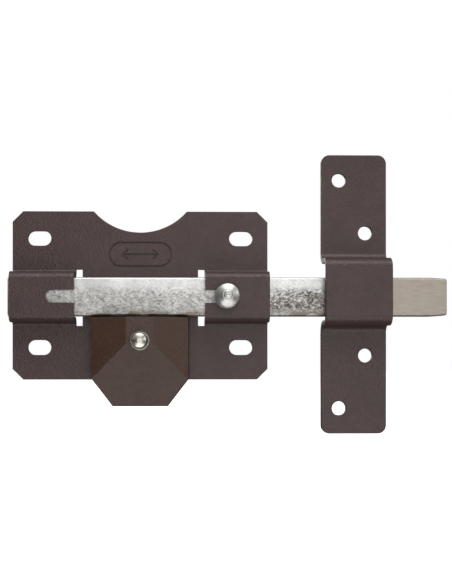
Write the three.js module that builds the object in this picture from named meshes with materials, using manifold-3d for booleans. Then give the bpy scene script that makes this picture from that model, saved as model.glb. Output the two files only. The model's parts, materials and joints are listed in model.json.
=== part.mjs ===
// A surface-mounted slide-bolt lock for a door or gate, with its key cylinder and its keeper.
// Millimetres, +Z up. X runs the way the bolt is thrown and the door's inside face is Y = 0.
// The lock stands out from the door towards -Y, so a "depth" below is a distance in front of the
// door. The origin is on the door's face, behind the middle of the lock, on the bolt's centreline.
import * as THREE from 'three';
import { ConvexGeometry } from 'three/addons/geometries/ConvexGeometry.js';
import { mergeVertices } from 'three/addons/utils/BufferGeometryUtils.js';
import Module from 'manifold-3d';

const wasm = await Module();
wasm.setup();

// ---- driving dimensions ----

const GAP = 0.3; // running clearance between neighbouring pieces
const SHEET = 2.5; // back plate and keeper
const ARC_STEPS = 2; // half the number of flats on each quarter bend
const HOLE_SIDES = 20;
const SMALL_SIDES = 12; // for pins, screws and rivets

const PLATE = { half: 60, top: 40.6, bottom: -38.6, chamfer: 5 };
const PLATE_ARC = { z: 59.7, radius: 29 }; // the cut-out in the top edge
const FIXING = { x: 47.4, top: 27.9, bottom: -23.5, length: 11, width: 7 };
const RELIEF = { left: 27.2, right: 30.2, half: 13.3 }; // slot that frees each pressed bridge
const BRIDGE = { half: 9.3, inside: 11.2, foot: 1.5, bend: 0.5, blank: 17 };

const BOLT = { back: 2.8, thickness: 8, half: 9, left: -61, right: 142.8, edge: 1.2 };
const TIP = { taper: 0.8, length: 7, round: 1.5 };
const TRAVEL = 80;
const KNOB = { x: 40, radius: 5.35, back: 15.6, front: 25.6, stud: 2.7, boreEnd: 19.1 };
const KNOB_FACE = { radius: 5, dimple: 0.5, crown: 0.7, rim: 24.1, back: 23.3 };
const KNOB_GROOVE = { radius: 4.3, front: 22.9, back: 22.2 };
const KNOB_RIM = { front: 21.9, back: 20.4 };
const KNOB_NECK = { radius: 4.35, front: 19.2, back: 17.2, foot: 16.4 };
const KNOB_STUD = { root: 6, end: 18.8 };
const KNOB_WASHER = { radius: 5.6, back: 14.1, front: 15.3 };
const KNOB_SLOT = { half: 3, end: 40.3 };

const COVER = { half: 23, top: -9.5, bottom: -51.2, floor: 13, apex: 17, back: 2.8 };
const COVER_STRIP = { half: 6.2, bottom: -21.9 }; // the flat ridge down the middle
const COVER_SLOPE = 0.31;
const COVER_DRAFT = 0.6;
const COVER_SHEET = 1.5;
const COVER_CORNER = -38.1;
const TAB = { length: 6, centres: [-16, -32], back: 0.3, inner: 21.6, outer: 22.7 };

const AXIS_Z = -20.4; // height of the button and of the key plug
const BUTTON = { head: 3.75, front: 22, rim: 4.8, rimFront: 13.9, rimBack: 12.2, hole: 4.3 };
const BUTTON_FACE = { dimple: 0.3, crown: 0.6, coneRadius: 3.35, coneFall: 0.9, edgeFall: 1.4 };
const CONE = { tip: 0.8, back: 8.6 };
const PRESS = 3; // the button's travel and, off its 45 degree cone, the pawl's lift

const PAWL = { back: 5.6, front: 8.6, nose: 5, top: -9.8, shoulder: -14, half: 7.5, bottom: -32.2 };
const PAWL_EAR = { half: 12.8, height: 3.4 };
const WINDOW = { half: 4.9, above: 1.1, below: 8.4 };
const PEG = { x: 6.2, z: -24.4, radius: 1.2 };
const GUIDE = { half: 14.5, sheet: 1.2, front: 8.9, top: -11.8, bottom: -30.5, hole: 5.2 };
const GUIDE_FOOT = { reach: 19.5, half: 4 };
const RIVET = { x: 17, z: -24, shank: 1.4, head: 2.3, headHeight: 1.4, crown: 1.4, round: 0.3 };

const BODY = { radius: 11.5, z: -17.9, front: 2.2, back: 43, flange: 14, flangeBack: 46, edge: 0.8 };
const PLUG = { radius: 6.2, tail: 4.6, front: 5.2, shoulder: 2, drive: 2.6, inset: 0.4 };
const CAM = { back: 3.9, front: 5.2, reach: 7.8, half: 2.5, hub: 4.8 };
const RETAINER = { back: 2.8, front: 3.6, half: 13, top: -9.5, bottom: -31.2, corner: 4, hole: 5.2 };
const RETAINER_SCREW = { x: 9.2, z: -15.5, radius: 1.3, head: 2.2, seat: 3.7, front: 4.8, end: -8 };
const DRIVER_SLOT = { reach: 3, half: 0.3, depth: 0.5 };
const DOOR = 40; // the thickness of door that this cylinder is cut for
const ROSETTE = { radius: 17, thickness: 2.4, rim: 0.8, bevel: 1.2 };
const PIN = { count: 5, first: 9, pitch: 6, radius: 1.3, chamber: 1.6, chamberHeight: 8 };
const PIN_REACH = PIN.pitch * (PIN.count - 1);
const SHEAR_Z = AXIS_Z + PLUG.radius + GAP / 2;
const KEY_PIN_LENGTHS = [3.4, 4.2, 2.9, 3.8, 3.1];
const DRIVER_PIN_LENGTH = 3.2;
const CHAMBER_CAP = { half: 2, end: 3, bottom: -7.7, top: -6.9 };
const KEYWAY = { half: 1.1, top: -17.6, front: -4 };
const PIN_SPRING = { radius: 1, wire: 0.18, turns: 3 };
const PAWL_SPRING = { radius: 1.2, wire: 0.25, turns: 6 };
const SPRING_GAP = 0.1;
const COIL_STEPS = 8; // straight pieces in one turn of a spring

const KEEPER = { x: 100.9, width: 31, top: 67.7, bottom: -64.3, corner: 4 };
const KEEPER_BRIDGE = { z: 1.6, half: 12.4, inside: 13.5, foot: 1.6, bend: 0.5 };
const KEEPER_HOLE = { radius: 3.3, outer: { x: -7, z: 54 }, inner: { x: 5.5, z: 29 } };

// ---- materials ----

function material(name, color, roughness, metalness) {
  return new THREE.MeshStandardMaterial({ name, color, roughness, metalness });
}

const BROWN_PAINT = material('brown_paint', 0x4b403d, 0.55, 0.1);
const ZINC = material('zinc', 0xcfd2d1, 0.38, 0.9);
const NICKEL = material('nickel', 0xdcd9cf, 0.2, 1);
const STEEL = material('steel', 0x9a9c9e, 0.4, 1);
const BRASS = material('brass', 0xb9994f, 0.3, 1);

// ---- from geometry to solid and back ----

// A closed geometry as a solid that can be joined and cut.
function solid(geometry) {
  const bare = geometry.clone();
  bare.deleteAttribute('normal');
  bare.deleteAttribute('uv');
  const merged = mergeVertices(bare, 1e-4);
  const vertProperties = new Float32Array(merged.attributes.position.array);
  const triVerts = new Uint32Array(merged.index.array);
  return new wasm.Manifold(new wasm.Mesh({ numProp: 3, vertProperties, triVerts }));
}

// The named mesh of a finished solid.
function piece(name, shape, finish) {
  const { vertProperties, triVerts } = shape.getMesh();
  const geometry = new THREE.BufferGeometry();
  geometry.setAttribute('position', new THREE.BufferAttribute(vertProperties, 3));
  geometry.setIndex(new THREE.BufferAttribute(triVerts, 1));
  geometry.computeVertexNormals();
  const mesh = new THREE.Mesh(geometry, finish);
  mesh.name = name;
  return mesh;
}

// A block between two corners, given as X, depth and Z.
function block([x0, d0, z0], [x1, d1, z1]) {
  const geometry = new THREE.BoxGeometry(x1 - x0, d1 - d0, z1 - z0);
  geometry.translate((x0 + x1) / 2, -(d0 + d1) / 2, (z0 + z1) / 2);
  return solid(geometry);
}

// An outline in X and Z, thick from one depth to another.
function slab(outline, back, front) {
  const settings = { depth: front - back, bevelEnabled: false, curveSegments: ARC_STEPS * 3 };
  const geometry = new THREE.ExtrudeGeometry(outline, settings);
  geometry.translate(0, 0, back);
  geometry.rotateX(Math.PI / 2);
  return solid(geometry);
}

// A section in depth and Z, drawn out along X.
function bar(section, left, right) {
  const settings = { depth: right - left, bevelEnabled: false, curveSegments: ARC_STEPS };
  const geometry = new THREE.ExtrudeGeometry(section, settings);
  const turn = new THREE.Matrix4();
  turn.makeBasis(
    new THREE.Vector3(0, -1, 0),
    new THREE.Vector3(0, 0, 1),
    new THREE.Vector3(-1, 0, 0),
  );
  geometry.applyMatrix4(turn);
  geometry.translate(right, 0, 0);
  return solid(geometry);
}

// A round piece about an axis square to the door, from [radius, depth] points, front to back.
function turned(profile, x, z, sides = HOLE_SIDES) {
  const points = profile.map(([radius, depth]) => new THREE.Vector2(radius, -depth));
  const geometry = new THREE.LatheGeometry(points, sides);
  geometry.translate(x, 0, z);
  return solid(geometry);
}

function rod(radius, back, front, x, z, sides = HOLE_SIDES) {
  return turned([[0, front], [radius, front], [radius, back], [0, back]], x, z, sides);
}

// An upright round piece, for the pins: its foot is at the origin.
function post(radius, height, sides) {
  const geometry = new THREE.CylinderGeometry(radius, radius, height, sides);
  geometry.rotateX(Math.PI / 2);
  geometry.translate(0, 0, height / 2);
  return solid(geometry);
}

function polygon(corners) {
  return new THREE.Shape(corners.map(([x, z]) => new THREE.Vector2(x, z)));
}

function roundedRectangle(left, bottom, right, top, radius) {
  const shape = new THREE.Shape();
  shape.moveTo(left + radius, bottom);
  shape.absarc(right - radius, bottom + radius, radius, -Math.PI / 2, 0, false);
  shape.absarc(right - radius, top - radius, radius, 0, Math.PI / 2, false);
  shape.absarc(left + radius, top - radius, radius, Math.PI / 2, Math.PI, false);
  shape.absarc(left + radius, bottom + radius, radius, Math.PI, 1.5 * Math.PI, false);
  return shape;
}

// A slot with round ends, along X.
function obround(x, z, length, width) {
  const radius = width / 2;
  const reach = length / 2 - radius;
  const shape = new THREE.Shape();
  shape.absarc(x + reach, z, radius, -Math.PI / 2, Math.PI / 2, false);
  shape.absarc(x - reach, z, radius, Math.PI / 2, 1.5 * Math.PI, false);
  return shape;
}

// The section of a sheet that is bent out into a bridge and back, with a flat foot each side.
function bridgeSection({ half, inside, foot, bend }, centre, bottom, top) {
  const outer = half + SHEET;
  const front = inside + SHEET;
  const crown = bend + SHEET;
  const turnIn = SHEET + foot;
  const quarter = Math.PI / 2;
  const shape = new THREE.Shape();
  shape.moveTo(0, top);
  shape.lineTo(SHEET, top);
  shape.absarc(turnIn, centre + outer + foot, foot, 2 * quarter, 3 * quarter, false);
  shape.absarc(front - crown, centre + outer - crown, crown, quarter, 0, true);
  shape.absarc(front - crown, centre - outer + crown, crown, 0, -quarter, true);
  shape.absarc(turnIn, centre - outer - foot, foot, quarter, 2 * quarter, false);
  shape.lineTo(SHEET, bottom);
  shape.lineTo(0, bottom);
  shape.absarc(turnIn, centre - outer - foot, turnIn, 2 * quarter, quarter, true);
  shape.absarc(inside - bend, centre - half + bend, bend, -quarter, 0, false);
  shape.absarc(inside - bend, centre + half - bend, bend, 0, quarter, false);
  shape.absarc(turnIn, centre + outer + foot, turnIn, -quarter, -2 * quarter, true);
  return shape;
}

// ---- back plate and keeper ----

function plateOutline() {
  const { half, top, bottom, chamfer } = PLATE;
  const drop = top - PLATE_ARC.z;
  const reach = Math.sqrt(PLATE_ARC.radius ** 2 - drop ** 2);
  const shape = new THREE.Shape();
  shape.moveTo(-half + chamfer, top);
  shape.lineTo(-reach, top);
  const start = Math.atan2(drop, -reach);
  const end = Math.atan2(drop, reach);
  shape.absarc(0, PLATE_ARC.z, PLATE_ARC.radius, start, end, false);
  shape.lineTo(half - chamfer, top);
  shape.lineTo(half, top - chamfer);
  shape.lineTo(half, bottom + chamfer);
  shape.lineTo(half - chamfer, bottom);
  shape.lineTo(-half + chamfer, bottom);
  shape.lineTo(-half, bottom + chamfer);
  shape.lineTo(-half, top - chamfer);
  return shape;
}

// One bridge on the right of the plate (side = 1) or on the left (side = -1).
function addBridge(plate, side) {
  const across = (near, far) => (side > 0 ? [near, far] : [-far, -near]);
  const overlap = 0.2;
  const [voidLeft, voidRight] = across(RELIEF.right, PLATE.half + 1);
  const [left, right] = across(RELIEF.right - overlap, PLATE.half);
  const reach = BRIDGE.blank + 1;
  const [reliefLeft, reliefRight] = across(RELIEF.left, RELIEF.right);
  const relief = roundedRectangle(reliefLeft, -RELIEF.half, reliefRight, RELIEF.half, 1);
  const slotWidth = 2 * KNOB_SLOT.half;
  const slotNear = RELIEF.left - slotWidth; // this round end is lost in the relief
  const slotFar = KNOB_SLOT.end + KNOB_SLOT.half;
  const slot = obround((side * (slotNear + slotFar)) / 2, 0, slotFar - slotNear, slotWidth);
  const slotFront = BRIDGE.inside + SHEET + 1;
  return plate
    .subtract(block([voidLeft, -1, -BRIDGE.blank], [voidRight, SHEET + 1, BRIDGE.blank]))
    .add(bar(bridgeSection(BRIDGE, 0, -reach, reach), left, right))
    .subtract(slab(relief, -1, slotFront))
    .subtract(slab(slot, BRIDGE.inside - 1, slotFront));
}

function backPlate() {
  let plate = slab(plateOutline(), 0, SHEET);
  plate = addBridge(plate, 1);
  plate = addBridge(plate, -1);
  for (const x of [-FIXING.x, FIXING.x]) {
    for (const z of [FIXING.top, FIXING.bottom]) {
      plate = plate.subtract(slab(obround(x, z, FIXING.length, FIXING.width), -1, SHEET + 1));
    }
  }
  for (const [low, high] of tabSpans()) {
    const inner = TAB.inner - GAP;
    const outer = TAB.outer + GAP;
    plate = plate
      .subtract(block([inner, -1, low - GAP], [outer, SHEET + 1, high + GAP]))
      .subtract(block([-outer, -1, low - GAP], [-inner, SHEET + 1, high + GAP]));
  }
  for (const x of [-RIVET.x, RIVET.x]) {
    plate = plate.subtract(rod(RIVET.shank + GAP, -1, SHEET + 1, x, RIVET.z, SMALL_SIDES));
  }
  return plate.subtract(rod(BODY.radius + GAP, -1, SHEET + 1, 0, BODY.z, 40));
}

function keeper() {
  const { x, width, top, bottom, corner } = KEEPER;
  const left = x - width / 2;
  const section = bridgeSection(KEEPER_BRIDGE, KEEPER_BRIDGE.z, bottom, top);
  const outline = roundedRectangle(left, bottom, left + width, top, corner);
  const front = KEEPER_BRIDGE.inside + SHEET + 1;
  const middle = (top + bottom) / 2;
  let strap = bar(section, left, left + width).intersect(slab(outline, -1, front));
  for (const { x: aside, z: up } of [KEEPER_HOLE.outer, KEEPER_HOLE.inner]) {
    for (const side of [-1, 1]) {
      const hole = rod(KEEPER_HOLE.radius, -1, SHEET + 1, x + aside, middle + side * up);
      strap = strap.subtract(hole);
    }
  }
  return strap;
}

// ---- the cover below the bolt ----

// The lowest and highest Z of the tabs that hold the cover to the plate, on both sides.
function tabSpans() {
  return TAB.centres.map((centre) => [centre - TAB.length / 2, centre + TAB.length / 2]);
}

// How far the cover stands out at a point: level along its ridge, then falling away evenly.
function coverDepth(x, z) {
  const away = Math.max(0, Math.abs(x) - COVER_STRIP.half, COVER_STRIP.bottom - z);
  return COVER.apex - COVER_SLOPE * away;
}

// The convex block inside the cover's faces, each moved in by an inset.
function coverBlock(inset, top, back) {
  const half = COVER.half - inset;
  const bottom = COVER.bottom + inset;
  const floor = COVER.floor - inset / 2;
  const corner = COVER_CORNER + inset / 2;
  const drop = inset * Math.hypot(1, COVER_SLOPE);
  const rim = (x, z) => new THREE.Vector3(x, -(coverDepth(x, z) - drop), z);
  const points = [];
  for (const side of [-1, 1]) {
    const base = [[half, top], [half, corner], [floor, bottom]];
    for (const [x, z] of base) {
      points.push(new THREE.Vector3(side * x, -back, z));
    }
    const wall = half - COVER_DRAFT;
    points.push(rim(side * wall, top));
    points.push(rim(side * wall, COVER_STRIP.bottom - (wall - COVER_STRIP.half)));
    points.push(rim(side * (floor - COVER_DRAFT / 2), bottom + COVER_DRAFT));
    points.push(rim(side * COVER_STRIP.half, top));
    points.push(rim(side * COVER_STRIP.half, COVER_STRIP.bottom));
  }
  return solid(new ConvexGeometry(points));
}

// A pressed shell, open at the back and along the bolt, with four tabs let into the plate.
function lockCover() {
  const aboveTop = COVER.top + 2;
  let cover = coverBlock(0, COVER.top, COVER.back)
    .subtract(coverBlock(COVER_SHEET, aboveTop, COVER.back - 1))
    .subtract(rod(BUTTON.hole, BUTTON.rimBack, COVER.apex + 1, 0, AXIS_Z));
  for (const [low, high] of tabSpans()) {
    const root = COVER.back + 1;
    cover = cover
      .add(block([TAB.inner, TAB.back, low], [TAB.outer, root, high]))
      .add(block([-TAB.outer, TAB.back, low], [-TAB.inner, root, high]));
  }
  return cover;
}

// ---- the bolt and its knob ----

function slideBolt() {
  const front = BOLT.back + BOLT.thickness;
  const section = roundedRectangle(BOLT.back, -BOLT.half, front, BOLT.half, BOLT.edge);
  const end = BOLT.half - TIP.taper;
  const shoulder = BOLT.right - TIP.length;
  const outline = new THREE.Shape();
  outline.moveTo(BOLT.left, -BOLT.half - 1);
  outline.lineTo(shoulder, -BOLT.half - 1);
  outline.lineTo(shoulder, -BOLT.half);
  outline.absarc(BOLT.right - TIP.round, -end + TIP.round, TIP.round, -Math.PI / 2, 0, false);
  outline.absarc(BOLT.right - TIP.round, end - TIP.round, TIP.round, 0, Math.PI / 2, false);
  outline.lineTo(shoulder, BOLT.half);
  outline.lineTo(shoulder, BOLT.half + 1);
  outline.lineTo(BOLT.left, BOLT.half + 1);
  let bolt = bar(section, BOLT.left, BOLT.right).intersect(slab(outline, 0, front + 1));
  const pocketTop = PAWL.top + PRESS + 0.5;
  for (const x of [0, TRAVEL]) {
    const low = [x - PAWL.nose - GAP, PAWL.back - GAP, -BOLT.half - 1];
    const high = [x + PAWL.nose + GAP, PAWL.front + GAP, pocketTop];
    bolt = bolt.subtract(block(low, high));
  }
  return bolt.subtract(rod(KNOB.stud + GAP, KNOB_STUD.root - GAP, front + 1, KNOB.x, 0));
}

function knobStud() {
  return rod(KNOB.stud, KNOB_STUD.root, KNOB_STUD.end, KNOB.x, 0);
}

function knobWasher() {
  const bore = KNOB.stud + GAP;
  const { radius, back, front } = KNOB_WASHER;
  const ring = [[bore, front], [radius, front], [radius, back], [bore, back], [bore, front]];
  return turned(ring, KNOB.x, 0);
}

// A turned knob, coned on its face, grooved behind it and bored from the back for the stud.
function boltKnob() {
  const bore = KNOB.stud + GAP;
  const profile = [
    [0, KNOB.front - KNOB_FACE.dimple],
    [KNOB_FACE.crown, KNOB.front],
    [KNOB_FACE.radius, KNOB_FACE.rim],
    [KNOB_FACE.radius, KNOB_FACE.back],
    [KNOB_GROOVE.radius, KNOB_GROOVE.front],
    [KNOB_GROOVE.radius, KNOB_GROOVE.back],
    [KNOB.radius, KNOB_RIM.front],
    [KNOB.radius, KNOB_RIM.back],
    [KNOB_NECK.radius, KNOB_NECK.front],
    [KNOB_NECK.radius, KNOB_NECK.back],
    [KNOB.radius, KNOB_NECK.foot],
    [KNOB.radius, KNOB.back],
    [bore, KNOB.back],
    [bore, KNOB.boreEnd],
    [0, KNOB.boreEnd],
  ];
  return turned(profile, KNOB.x, 0);
}

// ---- the button and the pawl that it lifts into the bolt ----

function pushButton() {
  const coneEnd = CONE.back + BUTTON.rim - CONE.tip;
  const profile = [
    [0, BUTTON.front - BUTTON_FACE.dimple],
    [BUTTON_FACE.crown, BUTTON.front],
    [BUTTON_FACE.coneRadius, BUTTON.front - BUTTON_FACE.coneFall],
    [BUTTON.head, BUTTON.front - BUTTON_FACE.edgeFall],
    [BUTTON.head, BUTTON.rimFront],
    [BUTTON.rim, BUTTON.rimFront],
    [BUTTON.rim, coneEnd],
    [CONE.tip, CONE.back],
    [0, CONE.back],
  ];
  return turned(profile, 0, AXIS_Z);
}

// A T-shaped plate with a window for the cone, an ear each side for its springs and a peg that
// the key's cam can push down.
function lockingPawl() {
  const earTop = PAWL.bottom + PAWL_EAR.height;
  const corners = [
    [PAWL.nose, PAWL.top],
    [PAWL.nose, PAWL.shoulder],
    [PAWL.half, PAWL.shoulder],
    [PAWL.half, earTop],
    [PAWL_EAR.half, earTop],
    [PAWL_EAR.half, PAWL.bottom],
  ];
  const mirrored = corners.map(([x, z]) => [-x, z]).reverse();
  const windowLow = [-WINDOW.half, PAWL.back - 1, AXIS_Z - WINDOW.below];
  const windowHigh = [WINDOW.half, PAWL.front + 1, AXIS_Z + WINDOW.above];
  return slab(polygon([...corners, ...mirrored]), PAWL.back, PAWL.front)
    .subtract(block(windowLow, windowHigh))
    .add(rod(PEG.radius, CAM.back, PAWL.back + 1, PEG.x, PEG.z, SMALL_SIDES));
}

// A folded bracket that straddles the pawl: two feet, two webs, a front with a hole for the
// button and a lip each side at the top for the springs to push against.
function pawlGuide() {
  const { half, sheet, front, top, bottom, hole } = GUIDE;
  const { reach } = GUIDE_FOOT;
  const back = RETAINER.back;
  const outline = polygon([[-half, bottom], [half, bottom], [half, top], [-half, top]]);
  let guide = slab(outline, back, front + sheet)
    .subtract(block([-half + sheet, back - 1, bottom - 1], [half - sheet, front, top + 1]))
    .subtract(rod(hole, front - 1, front + sheet + 1, 0, AXIS_Z));
  for (const side of [-1, 1]) {
    const [footLow, footHigh] = side > 0 ? [half - sheet, reach] : [-reach, -half + sheet];
    const footBottom = RIVET.z - GUIDE_FOOT.half;
    const footTop = RIVET.z + GUIDE_FOOT.half;
    const lipNear = PAWL.half + GAP;
    const lipFar = half - sheet / 2;
    const [lipLow, lipHigh] = side > 0 ? [lipNear, lipFar] : [-lipFar, -lipNear];
    guide = guide
      .add(block([footLow, back, footBottom], [footHigh, back + sheet, footTop]))
      .add(block([lipLow, PAWL.back, top - sheet], [lipHigh, front + sheet / 2, top]))
      .subtract(rod(RIVET.shank + GAP, 0, back + sheet + 1, side * RIVET.x, RIVET.z, SMALL_SIDES));
  }
  return guide;
}

function guideRivet(side) {
  const base = RETAINER.back + GUIDE.sheet + GAP;
  const crown = base + RIVET.headHeight;
  const profile = [
    [0, crown],
    [RIVET.crown, crown - RIVET.round],
    [RIVET.head, base + RIVET.round],
    [RIVET.head, base],
    [RIVET.shank, base],
    [RIVET.shank, GAP],
    [0, GAP],
  ];
  return turned(profile, side * RIVET.x, RIVET.z, SMALL_SIDES);
}

// ---- the key cylinder, through the door ----

function pinPlaces() {
  return Array.from({ length: PIN.count }, (_, index) => PIN.first + PIN.pitch * index);
}

function cylinderBody() {
  const { radius, z, front, back, flange, flangeBack, edge } = BODY;
  const profile = [
    [0, front],
    [radius, front],
    [radius, -back],
    [flange, -back],
    [flange, -flangeBack + edge],
    [flange - edge, -flangeBack],
    [0, -flangeBack],
  ];
  let body = turned(profile, 0, z, 40)
    .subtract(rod(PLUG.radius + GAP, -flangeBack - 1, -PLUG.shoulder, 0, AXIS_Z, 36))
    .subtract(rod(PLUG.tail + GAP, -PLUG.shoulder - 1, front + 1, 0, AXIS_Z, 24));
  const slotHalf = CHAMBER_CAP.half + GAP / 2;
  const slotEnd = CHAMBER_CAP.end + GAP / 2;
  const slotLow = [-slotHalf, -PIN.first - PIN_REACH - slotEnd, CHAMBER_CAP.bottom - GAP];
  const slotHigh = [slotHalf, slotEnd - PIN.first, z + radius + 1];
  body = body.subtract(block(slotLow, slotHigh));
  for (const y of pinPlaces()) {
    const chamber = post(PIN.chamber, PIN.chamberHeight, SMALL_SIDES);
    body = body.subtract(chamber.translate([0, y, AXIS_Z + PLUG.radius - 1]));
  }
  for (const side of [-1, 1]) {
    const screw = RETAINER_SCREW;
    const hole = rod(screw.radius + GAP, screw.end - GAP, front + 1, side * screw.x, screw.z, SMALL_SIDES);
    body = body.subtract(hole);
  }
  return body;
}

function outerRosette() {
  const bore = BODY.radius + GAP;
  const back = -DOOR - GAP;
  const far = back - ROSETTE.thickness;
  const { radius, rim, bevel } = ROSETTE;
  const ring = [
    [bore, back],
    [radius, back],
    [radius, far + rim],
    [radius - bevel, far],
    [bore, far],
    [bore, back],
  ];
  return turned(ring, 0, BODY.z, 40);
}

function cylinderPlug() {
  const { radius, tail, front, drive } = PLUG;
  const outerFace = -BODY.flangeBack + PLUG.inset;
  const shoulder = -PLUG.shoulder - GAP;
  const keyLow = [-KEYWAY.half, outerFace - 1, AXIS_Z - radius - 1];
  const keyHigh = [KEYWAY.half, KEYWAY.front, KEYWAY.top];
  let plug = rod(radius, outerFace, shoulder, 0, AXIS_Z, 36)
    .add(rod(tail, shoulder - 1, CAM.back - GAP, 0, AXIS_Z, 24))
    .add(block([-drive, shoulder, AXIS_Z - drive], [drive, front, AXIS_Z + drive]))
    .subtract(block(keyLow, keyHigh));
  for (const y of pinPlaces()) {
    const chamber = post(PIN.chamber, PIN.chamberHeight, SMALL_SIDES);
    plug = plug.subtract(chamber.translate([0, y, KEYWAY.top - 1]));
  }
  return plug;
}

function plugCam() {
  const outline = new THREE.Shape();
  const lean = Math.asin(CAM.half / CAM.hub);
  outline.absarc(0, AXIS_Z, CAM.hub, Math.PI / 2 + lean, Math.PI * 2.5 - lean, false);
  outline.absarc(0, AXIS_Z + CAM.reach - CAM.half, CAM.half, 0, Math.PI, false);
  const drive = PLUG.drive + GAP;
  const squareLow = [-drive, CAM.back - 1, AXIS_Z - drive];
  const squareHigh = [drive, CAM.front + 1, AXIS_Z + drive];
  return slab(outline, CAM.back, CAM.front).subtract(block(squareLow, squareHigh));
}

function cylinderRetainer() {
  const { back, front, half, top, bottom, corner, hole } = RETAINER;
  const outline = polygon([
    [-half, top],
    [half, top],
    [half, bottom + corner],
    [half - corner, bottom],
    [corner - half, bottom],
    [-half, bottom + corner],
  ]);
  let plate = slab(outline, back, front).subtract(rod(hole, back - 1, front + 1, 0, AXIS_Z, 24));
  for (const side of [-1, 1]) {
    const { x, z, radius } = RETAINER_SCREW;
    plate = plate.subtract(rod(radius + GAP, back - 1, front + 1, side * x, z, SMALL_SIDES));
  }
  return plate;
}

function retainerScrew(side) {
  const { x, z, radius, head, seat, front, end } = RETAINER_SCREW;
  const { reach, half, depth } = DRIVER_SLOT;
  const profile = [[0, front], [head, front], [head, seat], [radius, seat], [radius, end], [0, end]];
  const slot = block([side * x - reach, front - depth, z - half], [side * x + reach, front + 1, z + half]);
  return turned(profile, side * x, z, SMALL_SIDES).subtract(slot);
}

function chamberCap() {
  const { half, end, bottom, top } = CHAMBER_CAP;
  return block([-half, -PIN.first - PIN_REACH - end, bottom], [half, end - PIN.first, top]);
}

// ---- springs ----

class Helix extends THREE.Curve {
  constructor(radius, length, turns) {
    super();
    Object.assign(this, { radius, length, turns });
  }

  getPoint(t, target = new THREE.Vector3()) {
    const angle = 2 * Math.PI * this.turns * t;
    return target.set(this.radius * Math.cos(angle), this.radius * Math.sin(angle), this.length * t);
  }
}

// A coil that stands on the origin.
function coil({ radius, wire, turns }, length) {
  const round = new THREE.Shape();
  round.moveTo(wire, 0);
  round.lineTo(0, wire);
  round.lineTo(-wire, 0);
  round.lineTo(0, -wire);
  const path = new Helix(radius, length - 2 * wire, turns);
  const settings = { steps: turns * COIL_STEPS, bevelEnabled: false, extrudePath: path };
  const geometry = new THREE.ExtrudeGeometry(round, settings);
  geometry.translate(0, 0, wire);
  return solid(geometry);
}

// ---- the assembly ----

const lock = new THREE.Group();
lock.add(piece('back_plate', backPlate(), BROWN_PAINT));
lock.add(piece('lock_cover', lockCover(), BROWN_PAINT));
lock.add(piece('pawl_guide', pawlGuide(), STEEL));
lock.add(piece('guide_rivet_left', guideRivet(-1), STEEL));
lock.add(piece('guide_rivet_right', guideRivet(1), STEEL));

const key = new THREE.Group();
key.add(piece('cylinder_body', cylinderBody(), BRASS));
key.add(piece('outer_rosette', outerRosette(), BRASS));
key.add(piece('cylinder_retainer', cylinderRetainer(), STEEL));
key.add(piece('retainer_screw_left', retainerScrew(-1), STEEL));
key.add(piece('retainer_screw_right', retainerScrew(1), STEEL));
key.add(piece('pin_chamber_cap', chamberCap(), BRASS));
key.add(piece('cylinder_plug', cylinderPlug(), BRASS));
key.add(piece('plug_cam', plugCam(), STEEL));
lock.add(key);

pinPlaces().forEach((y, index) => {
  const number = index + 1;
  const keyPin = piece(`key_pin_${number}`, post(PIN.radius, KEY_PIN_LENGTHS[index], SMALL_SIDES), BRASS);
  keyPin.position.set(0, y, SHEAR_Z - GAP / 2 - KEY_PIN_LENGTHS[index]);
  const driver = piece(`driver_pin_${number}`, post(PIN.radius, DRIVER_PIN_LENGTH, SMALL_SIDES), STEEL);
  driver.position.set(0, y, SHEAR_Z + GAP / 2);
  const springFoot = SHEAR_Z + DRIVER_PIN_LENGTH + GAP;
  const springLength = CHAMBER_CAP.bottom - GAP / 2 - springFoot;
  const spring = piece(`pin_spring_${number}`, coil(PIN_SPRING, springLength), STEEL);
  spring.position.set(0, y, springFoot);
  key.add(keyPin, driver, spring);
});

const pawlSpringFoot = PAWL.bottom + PAWL_EAR.height + SPRING_GAP;
const pawlSpringLength = GUIDE.top - GUIDE.sheet - SPRING_GAP - pawlSpringFoot;
for (const [side, name] of [[-1, 'pawl_spring_left'], [1, 'pawl_spring_right']]) {
  const spring = piece(name, coil(PAWL_SPRING, pawlSpringLength), STEEL);
  const between = (PAWL.half + GUIDE.half - GUIDE.sheet) / 2;
  spring.position.set(side * between, -(PAWL.back + PAWL.front) / 2, pawlSpringFoot);
  lock.add(spring);
}

const bolt = new THREE.Group();
bolt.add(piece('slide_bolt', slideBolt(), ZINC));
bolt.add(piece('knob_stud', knobStud(), STEEL));
bolt.add(piece('knob_washer', knobWasher(), NICKEL));
bolt.add(piece('bolt_knob', boltKnob(), NICKEL));

const part = new THREE.Group();
part.add(lock, bolt);
part.add(piece('push_button', pushButton(), NICKEL));
part.add(piece('locking_pawl', lockingPawl(), STEEL));
part.add(piece('keeper', keeper(), BROWN_PAINT));

export default part;
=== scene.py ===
# %% [markdown]
# # A surface-mounted slide-bolt lock
# A rim lock is screwed to the face of a door. A flat bolt runs through two bridges pressed out of
# its back plate and into a keeper on the frame. This lesson builds the pieces that are seen, in
# metres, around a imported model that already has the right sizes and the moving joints.

import json
import math

import bmesh
import bpy
from mathutils import Matrix, Vector


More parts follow.
